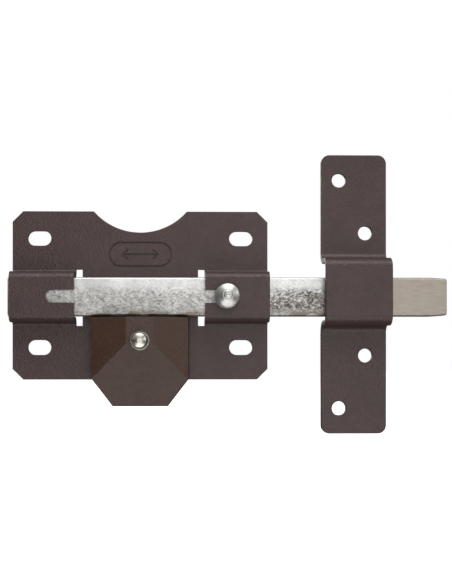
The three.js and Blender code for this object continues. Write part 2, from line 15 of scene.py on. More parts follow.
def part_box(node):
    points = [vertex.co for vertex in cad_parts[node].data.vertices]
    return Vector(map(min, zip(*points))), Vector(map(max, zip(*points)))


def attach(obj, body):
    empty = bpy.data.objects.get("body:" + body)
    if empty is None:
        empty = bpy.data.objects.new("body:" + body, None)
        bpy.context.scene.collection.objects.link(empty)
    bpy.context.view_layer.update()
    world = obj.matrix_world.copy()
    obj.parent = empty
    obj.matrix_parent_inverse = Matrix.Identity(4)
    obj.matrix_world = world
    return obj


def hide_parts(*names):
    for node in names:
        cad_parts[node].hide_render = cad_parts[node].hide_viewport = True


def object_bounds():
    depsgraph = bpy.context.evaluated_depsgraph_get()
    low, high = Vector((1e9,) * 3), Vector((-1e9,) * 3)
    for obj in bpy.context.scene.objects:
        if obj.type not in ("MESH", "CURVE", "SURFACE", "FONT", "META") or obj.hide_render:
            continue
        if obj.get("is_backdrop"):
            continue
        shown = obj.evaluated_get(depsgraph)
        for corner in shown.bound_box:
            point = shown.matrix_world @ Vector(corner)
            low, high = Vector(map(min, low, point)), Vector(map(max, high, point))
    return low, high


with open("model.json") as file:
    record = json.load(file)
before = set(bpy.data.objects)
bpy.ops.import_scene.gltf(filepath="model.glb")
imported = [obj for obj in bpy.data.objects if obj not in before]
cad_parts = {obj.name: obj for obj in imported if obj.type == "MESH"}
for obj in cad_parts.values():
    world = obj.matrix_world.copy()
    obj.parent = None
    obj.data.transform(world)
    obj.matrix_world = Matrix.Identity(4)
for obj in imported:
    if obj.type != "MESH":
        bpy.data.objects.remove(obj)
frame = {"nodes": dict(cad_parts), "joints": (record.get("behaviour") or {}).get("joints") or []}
cad_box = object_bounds()

# %% [markdown]
# ## Measures
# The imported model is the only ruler. Each piece's box is read from it, and the few sizes that a box
# doesn't give, such as a sheet's thickness or a bend's radius, are named in metres where they are
# first needed. A depth is a distance in front of the door, so a depth of 5 mm is Y = -0.005.

# %% Read the boxes
MM = 0.001
ACROSS = Vector((1, 0, 0))
OUT = Vector((0, -1, 0))

plate_low, plate_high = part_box("back_plate")
keeper_low, keeper_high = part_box("keeper")
bolt_low, bolt_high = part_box("slide_bolt")
cover_low, cover_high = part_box("lock_cover")
plug_low, plug_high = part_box("cylinder_plug")
body_low, body_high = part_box("cylinder_body")
knob_low, knob_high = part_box("bolt_knob")

KNOB_X = (knob_low.x + knob_high.x) / 2
AXIS_Z = (plug_low.z + plug_high.z) / 2  # the button and the key plug share this height
BODY_Z = (body_low.z + body_high.z) / 2
print("plate", [round(v / MM, 1) for v in plate_high - plate_low], "mm")

# %% [markdown]
# ## Helpers for solids
# Every piece starts as a bmesh, which is a mesh that Python can edit point by point. A few helpers are
# enough: one turns a finished bmesh into an object, one applies modifiers so that the mesh itself is
# the result, and one cuts a piece with a tool, as a punch or a milling cutter does. The exact solver
# is the slower one, but it copes with faces that lie in one plane, which punched sheet is full of.

# %% Make an object, apply its modifiers, cut it
def make_object(mesh_in, name):
    bmesh.ops.remove_doubles(mesh_in, verts=mesh_in.verts, dist=1e-7)
    bmesh.ops.recalc_face_normals(mesh_in, faces=mesh_in.faces)
    mesh = bpy.data.meshes.new(name)
    mesh_in.to_mesh(mesh)
    mesh_in.free()
    made = bpy.data.objects.new(name, mesh)
    bpy.context.scene.collection.objects.link(made)
    return made


def apply_modifiers(piece):
    bpy.context.view_layer.update()
    graph = bpy.context.evaluated_depsgraph_get()
    finished = bpy.data.meshes.new_from_object(piece.evaluated_get(graph))
    piece.modifiers.clear()
    piece.data = finished


def combine(piece, tool_mesh, operation="DIFFERENCE"):
    tool = make_object(tool_mesh, "tool")
    modifier = piece.modifiers.new("combine", "BOOLEAN")
    modifier.object = tool
    modifier.operation = operation
    modifier.solver = "EXACT"
    apply_modifiers(piece)
    bpy.data.objects.remove(tool)


print("solid helpers ready")

# %% [markdown]
# ## Helpers for finishes
# The finishes are procedural, so they need no pictures and no unwrapping. Texture coordinates are
# Object coordinates, in metres here: a scale of 1000 gives grain about a millimetre across, and the
# pattern stays on the piece when the piece moves.

# %% Nodes and where they look
def new_material(name):
    material = bpy.data.materials.new(name)
    material.use_nodes = True
    tree = material.node_tree
    return material, tree, tree.nodes["Principled BSDF"]


def add_node(tree, kind, inputs=None, **settings):
    """Adds a node; an input is given as a value, or as the socket that feeds it."""
    node = tree.nodes.new(kind)
    for key, value in settings.items():
        setattr(node, key, value)
    for key, value in (inputs or {}).items():
        if isinstance(value, bpy.types.NodeSocket):
            tree.links.new(value, node.inputs[key])
        else:
            node.inputs[key].default_value = value
    return node


def object_place(tree, stretch=(1, 1, 1), turn=(0, 0, 0), move=(0, 0, 0)):
    """Object coordinates, moved and turned first and stretched after that."""
    source = add_node(tree, "ShaderNodeTexCoord").outputs["Object"]
    turned = {"Vector": source, "Rotation": turn, "Location": move}
    turned = add_node(tree, "ShaderNodeMapping", turned).outputs["Vector"]
    return add_node(tree, "ShaderNodeMapping", {"Vector": turned, "Scale": stretch}).outputs["Vector"]


def noise(tree, place, scale, detail=3.0, roughness=0.55, distortion=0.0):
    inputs = {"Vector": place, "Scale": scale, "Detail": detail}
    inputs.update({"Roughness": roughness, "Distortion": distortion})
    return add_node(tree, "ShaderNodeTexNoise", inputs).outputs["Fac"]


print("node helpers ready")

# %% [markdown]
# Noise alone is a number from 0 to 1. A ramp turns it into a colour, a map range turns a place on the
# piece into an amount, a mix lays one colour over another, and a bump lets light see fine relief that
# would cost too many faces to model.

# %% Colours, amounts and relief
def grey(value):
    return (value, value, value)


def ramp(tree, value, stops):
    """stops is a list of (position, colour)."""
    node = add_node(tree, "ShaderNodeValToRGB", {"Fac": value})
    elements = node.color_ramp.elements
    while len(elements) < len(stops):
        elements.new(0.5)
    for element, (position, colour) in zip(elements, stops):
        element.position = position
        element.color = (*colour, 1)
    return node.outputs["Color"]


def amount(tree, value, start, end, least=0.0, most=1.0):
    """Goes evenly from least to most as the value goes from start to end."""
    inputs = {"Value": value, "From Min": start, "From Max": end, "To Min": least, "To Max": most}
    return add_node(tree, "ShaderNodeMapRange", inputs).outputs[0]


def reckon(tree, operation, first, second=0.0):
    return add_node(tree, "ShaderNodeMath", {0: first, 1: second}, operation=operation).outputs[0]


def mix_colour(tree, factor, first, second, blend="MIX"):
    node = add_node(tree, "ShaderNodeMix", data_type="RGBA", blend_type=blend)
    for socket, value in ((0, factor), (6, first), (7, second)):
        if isinstance(value, bpy.types.NodeSocket):
            tree.links.new(value, node.inputs[socket])
        else:
            node.inputs[socket].default_value = value
    return node.outputs[2]


def bump(tree, height, distance, strength=1.0, under=None):
    inputs = {"Height": height, "Distance": distance, "Strength": strength}
    if under is not None:
        inputs["Normal"] = under
    return add_node(tree, "ShaderNodeBump", inputs).outputs["Normal"]


print("colour helpers ready")

# %% [markdown]
# ## Brown enamel
# The plate, the cover and the keeper are dipped in a dark brown enamel and baked. A plain dark colour
# would look like plastic, because real enamel is never even: its colour drifts from place to place, the
# skin has a fine orange peel, and the gloss varies where the coat is thicker. Noise at three sizes
# gives all of that, and two bumps lie one on the other, the peel under the pigment's grain. The cover is
# dipped in another batch, which is a shade browner and a little flatter.

# %% Mix the enamel
def enamel(name, dark, light, gloss_level):
    material, tree, shader = new_material(name)
    place = object_place(tree)
    cloud = noise(tree, place, 70, 4)
    pigment = noise(tree, place, 2600, 2)
    drift = ramp(tree, cloud, [(0.3, dark), (0.72, light)])
    speck = ramp(tree, pigment, [(0.35, grey(0.86)), (0.65, grey(1.12))])
    colour = mix_colour(tree, 1.0, drift, speck, "MULTIPLY")
    tree.links.new(colour, shader.inputs["Base Color"])
    gloss = ramp(tree, noise(tree, place, 420, 3), [(0.3, grey(0.33)), (0.7, grey(0.45))])
    tree.links.new(gloss, shader.inputs["Roughness"])
    peel = bump(tree, noise(tree, place, 900, 2), 0.22 * MM)
    grain = bump(tree, pigment, 0.03 * MM, 0.7, peel)
    tree.links.new(grain, shader.inputs["Normal"])
    shader.inputs["Specular IOR Level"].default_value = gloss_level
    return material


ENAMEL = enamel("brown_enamel", (0.040, 0.0232, 0.0215), (0.052, 0.0300, 0.0278), 0.34)
COVER_ENAMEL = enamel("cover_enamel", (0.041, 0.0197, 0.0124), (0.052, 0.0258, 0.0168), 0.32)
print("mixed", ENAMEL.name, "and", COVER_ENAMEL.name)

# %% [markdown]
# ## Zinc bar
# The bolt is cut from drawn flat bar and zinc plated in a barrel, where the bars knock against each
# other. Its plating is pale, with short scuffs along the bar. They could be painted by hand, but noise
# that is stretched along the bar and leans a little both ways looks the same and never repeats. The
# scuffs come in two strengths, and a place on the bar decides which one shows: deep ones below the
# middle, most of all where the bar runs in the open. Towards the top all marks fade to near-white,
# which is a painted highlight for the bright band that the bar's top mirrors from above.

# %% Scuff the plating
SKIN_DARK, SKIN_LIGHT = (0.48, 0.48, 0.47), (0.63, 0.63, 0.62)
SCUFF_DEEP, SCUFF_MIDDLE = (0.10, 0.080, 0.066), (0.36, 0.325, 0.295)
SCUFF_CENTRE = -1.5 * MM
OPEN_START, OPEN_FULL = 45 * MM, 62 * MM


def bar_scuffs(tree):
    lean_left = noise(tree, object_place(tree, (0.5, 1, 1), (0, 0.35, 0)), 1400, 4, 0.55, 0.8)
    lean_right = noise(tree, object_place(tree, (0.5, 1, 1), (0, -0.45, 0)), 1000, 4, 0.55, 0.8)
    return mix_colour(tree, 0.5, lean_left, lean_right)


def plating(tree, place, split, scuffs):
    cloud = noise(tree, place, 140, 4, 0.6)
    skin = ramp(tree, cloud, [(0.35, SKIN_DARK), (0.65, SKIN_LIGHT)])
    light = ramp(tree, scuffs, [(0.40, grey(0.62)), (0.50, grey(0.94)), (0.62, grey(1.14))])
    deep = ramp(tree, scuffs, [(0.41, SCUFF_DEEP), (0.50, SCUFF_MIDDLE), (0.59, grey(0.98))])
    from_centre = reckon(tree, "ABSOLUTE", reckon(tree, "SUBTRACT", split.outputs["Z"], SCUFF_CENTRE))
    in_band = amount(tree, from_centre, 6.5 * MM, 3.5 * MM)
    in_open = amount(tree, split.outputs["X"], OPEN_START, OPEN_FULL, 0.22)
    patchy = ramp(tree, cloud, [(0.42, grey(1)), (0.62, grey(0.7))])
    depth = reckon(tree, "MULTIPLY", reckon(tree, "MULTIPLY", in_band, in_open), patchy)
    marks = mix_colour(tree, depth, light, deep)
    # painted highlight: towards the top the marks fade to near-white, standing in for a mirrored bright
    # band
    painted_top_highlight = amount(tree, split.outputs["Z"], 2 * MM, 6 * MM, 0, 0.75)
    marks = mix_colour(tree, painted_top_highlight, marks, (1.02, 1.02, 1.02, 1))
    return mix_colour(tree, 1.0, skin, marks, "MULTIPLY")


print("scuffs between", SCUFF_DEEP, "and", SKIN_LIGHT)

# %% [markdown]
# The lower half is painted darker, a painted shade for the dimmer surround that it mirrors, and brown
# stains lie along the lower edge. The last stretch of the bar is linished on a belt, so that it slides
# into the keeper: it is warmer, and its noise is stretched far more, which turns it into fine lines.
# One amount along the bar changes the plating into the linish.

# %% Plate the bar
TIP_START = keeper_high.x - 8 * MM
# the first colour darkens the bar's lower half as painted shade; the second is a real brown stain
PAINTED_LOWER_SHADE, STAIN = (0.60, 0.58, 0.55, 1), (0.13, 0.10, 0.07, 1)
LINISH_DARK, LINISH_LIGHT = (0.28, 0.245, 0.21), (0.32, 0.285, 0.245)


def painted_shade_and_stains(tree, split, plated):
    # painted shade: the bar grows darker towards its bottom, standing in for the dimmer surround it
    # mirrors
    lower = amount(tree, split.outputs["Z"], 7 * MM, -6 * MM, 0, 0.75)
    plated = mix_colour(tree, lower, plated, mix_colour(tree, 1.0, plated, PAINTED_LOWER_SHADE, "MULTIPLY"))
    near_edge = amount(tree, split.outputs["Z"], -5.5 * MM, -7.5 * MM)
    spots = noise(tree, object_place(tree, (0.5, 1, 1)), 300, 5, 0.65)
    patches = ramp(tree, spots, [(0.42, grey(0)), (0.56, grey(0.8))])
    return mix_colour(tree, reckon(tree, "MULTIPLY", near_edge, patches), plated, STAIN)


def zinc_bar():
    material, tree, shader = new_material("zinc_bar")
    place = object_place(tree)
    split = add_node(tree, "ShaderNodeSeparateXYZ", {"Vector": place})
    scuffs = bar_scuffs(tree)
    plated = painted_shade_and_stains(tree, split, plating(tree, place, split, scuffs))
    lines = noise(tree, object_place(tree, (0.12, 1, 1)), 1400, 3, 0.5)
    linished = ramp(tree, lines, [(0.3, LINISH_DARK), (0.7, LINISH_LIGHT)])
    at_tip = amount(tree, split.outputs["X"], TIP_START, TIP_START + 2 * MM)
    tree.links.new(mix_colour(tree, at_tip, plated, linished), shader.inputs["Base Color"])
    shader.inputs["Metallic"].default_value = 0.85
    roughness = ramp(tree, scuffs, [(0.35, grey(0.52)), (0.65, grey(0.36))])
    tree.links.new(roughness, shader.inputs["Roughness"])
    tree.links.new(bump(tree, scuffs, 0.05 * MM, 0.8), shader.inputs["Normal"])
    return material


ZINC = zinc_bar()
print("plated", ZINC.name)

# %% [markdown]
# ## Turned finishes
# The knob, its washer and the button are turned in a lathe and nickel plated, and the key cylinder is
# turned brass. A turning tool leaves rings about the axis. Modelled rings would cost thousands of
# faces, so a Wave texture set to rings makes them, centred on each piece by its Mapping node, and a
# little noise breaks them up where hands have worn them.

# %% Turn and plate
def turned_metal(name, centre_x, centre_z, dark, light, rough):
    material, tree, shader = new_material(name)
    centred = object_place(tree, move=(-centre_x, 0, -centre_z))
    rings = add_node(
        tree, "ShaderNodeTexWave",
        {"Vector": centred, "Scale": 1500, "Distortion": 0.6, "Detail": 2.0},
        wave_type="RINGS", rings_direction="Y",
    ).outputs["Fac"]
    wear = noise(tree, centred, 260, 5, 0.6, 0.3)
    tree.links.new(ramp(tree, wear, [(0.3, dark), (0.7, light)]), shader.inputs["Base Color"])
    shader.inputs["Metallic"].default_value = 1.0
    gloss = ramp(tree, wear, [(0.3, grey(rough + 0.1)), (0.7, grey(rough))])
    tree.links.new(gloss, shader.inputs["Roughness"])
    lathe = bump(tree, rings, 0.006 * MM, 0.7)
    worn = bump(tree, noise(tree, centred, 1500, 3), 0.02 * MM, 0.5, lathe)
    tree.links.new(worn, shader.inputs["Normal"])
    return material


BRASS_DARK, BRASS_LIGHT = (0.42, 0.28, 0.10), (0.66, 0.47, 0.20)
KNOB_NICKEL = turned_metal("knob_nickel", KNOB_X, 0, (0.36, 0.36, 0.34), (0.53, 0.53, 0.505), 0.32)
BUTTON_NICKEL = turned_metal("button_nickel", 0, AXIS_Z, (0.42, 0.395, 0.35), (0.62, 0.585, 0.52), 0.24)
BODY_BRASS = turned_metal("body_brass", 0, BODY_Z, BRASS_DARK, BRASS_LIGHT, 0.28)
PLUG_BRASS = turned_metal("plug_brass", 0, AXIS_Z, BRASS_DARK, BRASS_LIGHT, 0.25)
print("turned:", [metal.name for metal in (KNOB_NICKEL, BUTTON_NICKEL, BODY_BRASS, PLUG_BRASS)])

# %% [markdown]
# ## Works steel
# The pieces under the cover are stamped steel with a thin flash of zinc. Rolling leaves a grain that
# runs one way, so one noise is stretched until it draws lines, and a second one, left round, gives the
# blotches where the plating took unevenly.

# %% Flash the steel
def works_steel():
    material, tree, shader = new_material("works_steel")
    rolled = noise(tree, object_place(tree, (1, 1, 0.08)), 1600, 4, 0.6)
    blotch = noise(tree, object_place(tree), 240, 4)
    grain = ramp(tree, rolled, [(0.3, (0.30, 0.30, 0.31)), (0.7, (0.47, 0.47, 0.48))])
    tint = ramp(tree, blotch, [(0.35, (0.80, 0.82, 0.86)), (0.65, (1.05, 1.03, 0.98))])
    tree.links.new(mix_colour(tree, 1.0, grain, tint, "MULTIPLY"), shader.inputs["Base Color"])
    shader.inputs["Metallic"].default_value = 0.95
    gloss = ramp(tree, blotch, [(0.3, grey(0.46)), (0.7, grey(0.32))])
    tree.links.new(gloss, shader.inputs["Roughness"])
    tree.links.new(bump(tree, rolled, 0.03 * MM, 0.6), shader.inputs["Normal"])
    return material


STEEL = works_steel()
print("flashed", STEEL.name)

# %% [markdown]
# ## Bent sheet
# A bridge is one strip of sheet with four bends. Stacked blocks with bevelled edges would have the right
# outline but no true bends on the inside. So the strip's middle line is drawn as a chain of edges:
# straight runs are extruded from the last point, and each bend is that point spun a quarter turn about
# the bend's centre. Swept sideways and given its thickness, the line becomes pressed steel.

# %% The middle line of a bridge
SHEET = 2.5 * MM  # back plate and keeper
BEND_STEPS = 7


def straight_to(line, vert, depth, z):
    grown = bmesh.ops.extrude_vert_indiv(line, verts=[vert])["verts"][0]
    grown.co = Vector((vert.co.x, -depth, z))
    return grown


def bend_about(line, vert, depth, z, quarter):
    made = bmesh.ops.spin(
        line, geom=[vert], cent=(vert.co.x, -depth, z), axis=ACROSS, dvec=(0, 0, 0),
        angle=quarter * math.pi / 2, steps=BEND_STEPS, use_merge=False, use_duplicate=False,
    )
    return [item for item in made["geom_last"] if isinstance(item, bmesh.types.BMVert)][0]


def bridge_line(line, x, low, high, centre, half, inside, foot, bend):
    """The chain of edges from the top edge of the sheet, over the bridge, to its bottom edge."""
    wall = half + SHEET / 2
    foot_z = half + SHEET + foot
    vert = line.verts.new((x, -SHEET / 2, high))
    vert = straight_to(line, vert, SHEET / 2, centre + foot_z)
    vert = bend_about(line, vert, SHEET + foot, centre + foot_z, -1)
    vert = straight_to(line, vert, inside - bend, centre + wall)
    vert = bend_about(line, vert, inside - bend, centre + half - bend, 1)
    vert = straight_to(line, vert, inside + SHEET / 2, centre - half + bend)
    vert = bend_about(line, vert, inside - bend, centre - half + bend, 1)
    vert = straight_to(line, vert, SHEET + foot, centre - wall)
    vert = bend_about(line, vert, SHEET + foot, centre - foot_z, -1)
    straight_to(line, vert, SHEET / 2, low)


def sweep(line, edges, width):
    grown = bmesh.ops.extrude_edge_only(line, edges=edges)["geom"]
    moved = [item for item in grown if isinstance(item, bmesh.types.BMVert)]
    bmesh.ops.translate(line, vec=ACROSS * width, verts=moved)


print("a bend is drawn in", BEND_STEPS, "steps")

# %% [markdown]
# ## Back plate
# One blank of 2.5 mm sheet. Its middle band stays flat; the bands left and right of it are pressed out
# into bridges, freed by a relief slot each. The slots could be cut afterwards, but a tool cuts badly
# where a sheet meets itself, so the middle surface is drawn with the slots left open: two bent bands
# and three flat faces.

# %% Bend the blank
RELIEF_NEAR, RELIEF_FAR = 27.2 * MM, 30.2 * MM
BRIDGE_HALF = 9.3 * MM  # half the height of the opening under a bridge
BRIDGE_FOOT, BRIDGE_BEND = 1.5 * MM, 1.5 * MM  # front radius at the foot, inside radius at the top
TOUCH = 1e-6


def plate_surface():
    blank = bmesh.new()
    inside = -plate_low.y - SHEET
    for start in (plate_low.x, RELIEF_FAR):
        before = set(blank.edges)
        bridge_line(
            blank, start, plate_low.z, plate_high.z, 0, BRIDGE_HALF, inside, BRIDGE_FOOT, BRIDGE_BEND
        )
        chain = [edge for edge in blank.edges if edge not in before]
        sweep(blank, chain, plate_high.x - RELIEF_FAR)
    foot_z = BRIDGE_HALF + SHEET + BRIDGE_FOOT
    inner = [
        [blank.verts.new((side * RELIEF_NEAR, -SHEET / 2, level * foot_z)) for side in (-1, 1)]
        for level in (1, -1)
    ]
    bmesh.ops.contextual_create(blank, geom=inner[0] + inner[1])
    for ends, edge_z, level in zip(inner, (plate_high.z, plate_low.z), (1, -1)):
        corners = [
            vert for vert in blank.verts
            if abs(abs(vert.co.x) - RELIEF_FAR) < TOUCH
            and abs(vert.co.y + SHEET / 2) < TOUCH
            and min(abs(vert.co.z - edge_z), abs(vert.co.z - level * foot_z)) < TOUCH
        ]
        bmesh.ops.contextual_create(blank, geom=corners + ends)
    return blank


blank = plate_surface()
print("blank drawn:", len(blank.faces), "faces")

# %% [markdown]
# The four corners are cropped while the blank is still a surface: a bevel on a single corner point is
# a straight cut with one segment and a round one with several. Only then does the blank get its
# thickness, half to each side of the middle surface, so that every bend keeps its true radii.

# %% Crop and thicken
PLATE_CORNER = 5 * MM


def crop_corners(sheet_mesh, low, high, size, steps):
    corners = [
        vert for vert in sheet_mesh.verts
        if min(abs(vert.co.x - low.x), abs(vert.co.x - high.x)) < TOUCH
        and min(abs(vert.co.z - low.z), abs(vert.co.z - high.z)) < TOUCH
    ]
    bmesh.ops.bevel(
        sheet_mesh, geom=corners, offset=size, offset_type="OFFSET", segments=steps,
        profile=0.5, affect="VERTICES", material=-1,
    )


def thicken(piece):
    modifier = piece.modifiers.new("sheet", "SOLIDIFY")
    modifier.thickness = SHEET
    modifier.offset = 0
    modifier.use_even_offset = True
    apply_modifiers(piece)


crop_corners(blank, plate_low, plate_high, PLATE_CORNER, steps=1)
back_plate = make_object(blank, "pressed_plate")
thicken(back_plate)
print("blank bent:", len(back_plate.data.polygons), "faces")

# %% [markdown]
# ## Punches
# A punch is a flat outline pushed through the sheet. A circle becomes an obround when its two halves
# are drawn apart, which keeps its ends truly round, where scaling it would make them oval.

# %% Make the punches
def block_tool(low, high):
    tool = bmesh.new()
    bmesh.ops.create_cube(tool, size=1)
    size = Vector(high) - Vector(low)
    bmesh.ops.scale(tool, vec=size, verts=tool.verts)
    bmesh.ops.translate(tool, vec=(Vector(low) + Vector(high)) / 2, verts=tool.verts)
    return tool


def push_out(tool, faces, depth):
    """Thickens flat faces along the depth direction."""
    grown = bmesh.ops.extrude_face_region(tool, geom=faces, use_keep_orig=True)["geom"]
    moved = [item for item in grown if isinstance(item, bmesh.types.BMVert)]
    bmesh.ops.translate(tool, vec=OUT * depth, verts=moved)


def round_tool(x, z, back, front, width, length=None, sides=40, tool=None):
    """A round punch, or one with round ends along X where a length is given."""
    tool = tool or bmesh.new()
    circle = bmesh.ops.create_circle(tool, cap_ends=True, segments=sides, radius=width / 2)
    verts = circle["verts"]
    reach = ((length or width) - width) / 2
    for vert in verts:
        vert.co.x += math.copysign(reach, vert.co.x) if abs(vert.co.x) > 1e-9 else 0
    turn = Matrix.Rotation(math.pi / 2, 4, "X")
    place = Matrix.Translation((x, -back, z)) @ turn
    bmesh.ops.transform(tool, matrix=place, verts=verts)
    push_out(tool, list({face for vert in verts for face in vert.link_faces}), front - back)
    return tool


print("punches ready")

# %% [markdown]
# The holes come next, as in the press. The arc in the top edge clears a handle or a cylinder above.
# Tools that would touch each other are used one after another, because a cut works cleanest when the
# tool is one plain closed shape; tools that lie apart can share one cut, which is quicker.

# %% Punch the plate
PLATE_ARC_Z, PLATE_ARC_RADIUS = 59.7 * MM, 29 * MM
FIXING_X, FIXING_LENGTH, FIXING_WIDTH = 47.4 * MM, 11 * MM, 7 * MM
FIXING_HEIGHTS = (27.9 * MM, -23.5 * MM)
CYLINDER_ROOM = 4.4 * MM  # how much smaller the cylinder's hole is than its flange
RIVET_X, RIVET_Z, RIVET_HOLE = 17 * MM, -24 * MM, 3.4 * MM
THROUGH = SHEET + 1 * MM

combine(back_plate, round_tool(0, PLATE_ARC_Z, -MM, THROUGH, 2 * PLATE_ARC_RADIUS, sides=192))
punch = bmesh.new()
for hole_x in (-FIXING_X, FIXING_X):
    for hole_z in FIXING_HEIGHTS:
        round_tool(hole_x, hole_z, -MM, THROUGH, FIXING_WIDTH, FIXING_LENGTH, tool=punch)
cylinder_hole = body_high.z - body_low.z - CYLINDER_ROOM
round_tool(0, BODY_Z, -MM, THROUGH, cylinder_hole, sides=96, tool=punch)
combine(back_plate, punch)
print("plate punched:", len(back_plate.data.polygons), "faces")

# %% [markdown]
# The cover hangs on four tabs that go through slots in the plate, and the pawl's bracket is held by two
# rivets. The knob's stud runs in a slot in each bridge; the slot is open towards the relief slot, so its
# tool is twice as long as the slot and lies half in the open.

# %% Cut the slots
TAB_HEIGHTS = (-16 * MM, -32 * MM)
TAB_INNER, TAB_OUTER, TAB_REACH = 21.6 * MM, 22.7 * MM, 3 * MM
TAB_ROOM, TAB_BACK = 0.3 * MM, 0.3 * MM  # play in the slot, and short of the door's face
SLOT_END, SLOT_WIDTH, SLOT_CUT = 43.3 * MM, 6 * MM, 5 * MM


def tab_tool(side, height, room, back, front):
    """One of the four tabs that hold the cover, or with some room added the slot for it."""
    inner, outer = sorted((side * (TAB_INNER - room), side * (TAB_OUTER + room)))
    reach = TAB_REACH + room
    return block_tool((inner, -front, height - reach), (outer, -back, height + reach))


slot_length = 2 * (SLOT_END - RELIEF_NEAR)
slot_front = -plate_low.y + MM
slot_back = slot_front - SLOT_CUT
for side in (-1, 1):
    combine(back_plate, round_tool(side * RIVET_X, RIVET_Z, -MM, THROUGH, RIVET_HOLE, sides=24))
    for tab_height in TAB_HEIGHTS:
        combine(back_plate, tab_tool(side, tab_height, TAB_ROOM, -MM, THROUGH))
    combine(back_plate, round_tool(
        side * RELIEF_NEAR, 0, slot_back, slot_front, SLOT_WIDTH, slot_length, sides=48
    ))
print("slots cut:", len(back_plate.data.polygons), "faces")

# %% [markdown]
# ## The arrow
# A plain rounded outline with a two-headed arrow is rolled into the plate above the bolt. It only says
# which way the bolt moves. A bump could fake it, but a real groove keeps its shadow from every side. The
# outline is a large slug less a smaller one; the arrow is a bar and four short strokes.

# %% Engrave the arrow
MARK_Z, MARK_DEPTH, MARK_LINE = 20.4 * MM, 0.9 * MM, 0.85 * MM
OUTLINE_LENGTH, OUTLINE_HEIGHT = 30 * MM, 12 * MM
SHAFT_LENGTH, BARB_LENGTH, BARB_LEAN = 15 * MM, 3.4 * MM, math.radians(40)
BARB_X, BARB_RISE = 7.2 * MM, 1.1 * MM


def stroke(x, z, length, lean):
    """A thin bar about its own middle, leaned by an angle, as a cutting tool."""
    tool = bmesh.new()
    bmesh.ops.create_cube(tool, size=1)
    place = Matrix.Translation((x, -SHEET, z)) @ Matrix.Rotation(lean, 4, "Y")
    shape = Matrix.Diagonal((length, 2 * MARK_DEPTH, MARK_LINE, 1))
    bmesh.ops.transform(tool, matrix=place @ shape, verts=tool.verts)
    return tool


def outline_tool(length, width):
    """A closed line in the shape of a running track, as one tool: a large slug less a smaller one."""
    back, front = SHEET - MARK_DEPTH, SHEET + MM
    ring = make_object(round_tool(0, MARK_Z, back, front, width, length, sides=64), "ring")
    inner = (width - 2 * MARK_LINE, length - 2 * MARK_LINE)
    combine(ring, round_tool(0, MARK_Z, back - MM, front + MM, *inner, sides=64))
    tool = bmesh.new()
    tool.from_mesh(ring.data)
    bpy.data.objects.remove(ring)
    return tool


combine(back_plate, outline_tool(OUTLINE_LENGTH, OUTLINE_HEIGHT))
combine(back_plate, stroke(0, MARK_Z, SHAFT_LENGTH, 0))
for side in (-1, 1):
    for lean in (-1, 1):
        barb_z = MARK_Z + lean * BARB_RISE
        combine(back_plate, stroke(side * BARB_X, barb_z, BARB_LENGTH, side * lean * BARB_LEAN))
print("engraved:", len(back_plate.data.polygons), "faces")

# %% [markdown]
# ## Soft edges
# Nothing on the real lock has a knife edge: shearing, tumbling and paint round every corner, and the
# thin light line that this draws along the edges is what makes metal look like metal. A bevel limited
# by angle finds the edges by itself. Smooth shading needs one more thing: each corner's normal is
# weighted by the area of the faces around it, so that the big flats stay flat.

# %% Round and shade the plate
EDGE = 0.42 * MM  # how far a sheared edge is rounded by the paint


def shade(piece, angle=32):
    piece.data.polygons.foreach_set("use_smooth", [True] * len(piece.data.polygons))
    piece.data.set_sharp_from_angle(angle=math.radians(angle))
    modifier = piece.modifiers.new("flats", "WEIGHTED_NORMAL")
    modifier.mode = "FACE_AREA"
    modifier.keep_sharp = True
    apply_modifiers(piece)


def soften(piece, width, segments=2, angle=35):
    modifier = piece.modifiers.new("edges", "BEVEL")
    modifier.width = width
    modifier.segments = segments
    modifier.limit_method = "ANGLE"
    modifier.angle_limit = math.radians(angle)
    modifier.use_clamp_overlap = True
    modifier.harden_normals = False
    apply_modifiers(piece)
    shade(piece)


def stand_in_for(piece, node, body, material):
    """The new piece rides on its body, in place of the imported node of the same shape."""
    piece.data.materials.clear()
    piece.data.materials.append(material)
    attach(piece, body)
    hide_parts(node)
    print(piece.name, "has", len(piece.data.polygons), "faces")


soften(back_plate, EDGE)
stand_in_for(back_plate, "back_plate", "lock", ENAMEL)

# %% [markdown]
# ## Keeper
# The keeper is a strap of the same sheet with one deeper bridge for the bolt. The plate's helpers bend
# it in the same way, with wider bends. Its corners are rounded as points with several segments, and
# four screw holes are punched, staggered so that the screws don't split the wood along one line.

# %% Bend and punch the keeper
KEEPER_CENTRE, KEEPER_HALF = 2.45 * MM, 13.25 * MM
KEEPER_FOOT, KEEPER_BEND, KEEPER_CORNER = 3.5 * MM, 2.5 * MM, 4 * MM
SCREW_HOLE = 6.6 * MM
SCREW_PLACES = ((-7 * MM, 54 * MM), (5.5 * MM, 29 * MM))  # aside and up from the strap's middle

keeper_middle = (keeper_low + keeper_high) / 2
strap = bmesh.new()
bridge_line(
    strap, keeper_low.x, keeper_low.z, keeper_high.z, KEEPER_CENTRE, KEEPER_HALF,
    -keeper_low.y - SHEET, KEEPER_FOOT, KEEPER_BEND,
)
sweep(strap, list(strap.edges), keeper_high.x - keeper_low.x)
crop_corners(strap, keeper_low, keeper_high, KEEPER_CORNER, steps=7)
keeper = make_object(strap, "keeper_strap")
thicken(keeper)
screws = bmesh.new()
for aside, up in SCREW_PLACES:
    for side in (-1, 1):
        hole_x, hole_z = keeper_middle.x + aside, keeper_middle.z + side * up
        round_tool(hole_x, hole_z, -MM, THROUGH, SCREW_HOLE, tool=screws)
combine(keeper, screws)
soften(keeper, EDGE)
stand_in_for(keeper, "keeper", "keeper", ENAMEL)

# %% [markdown]
# ## Lock cover
# A pressed cap with flat facets that fall away from a level ridge. Facets are planes, so the cap is
# made by slicing: a block is cut by one plane after another and each cut is closed again. Placing the
# corners by hand would be shorter, but then a facet with four corners is seldom quite flat.

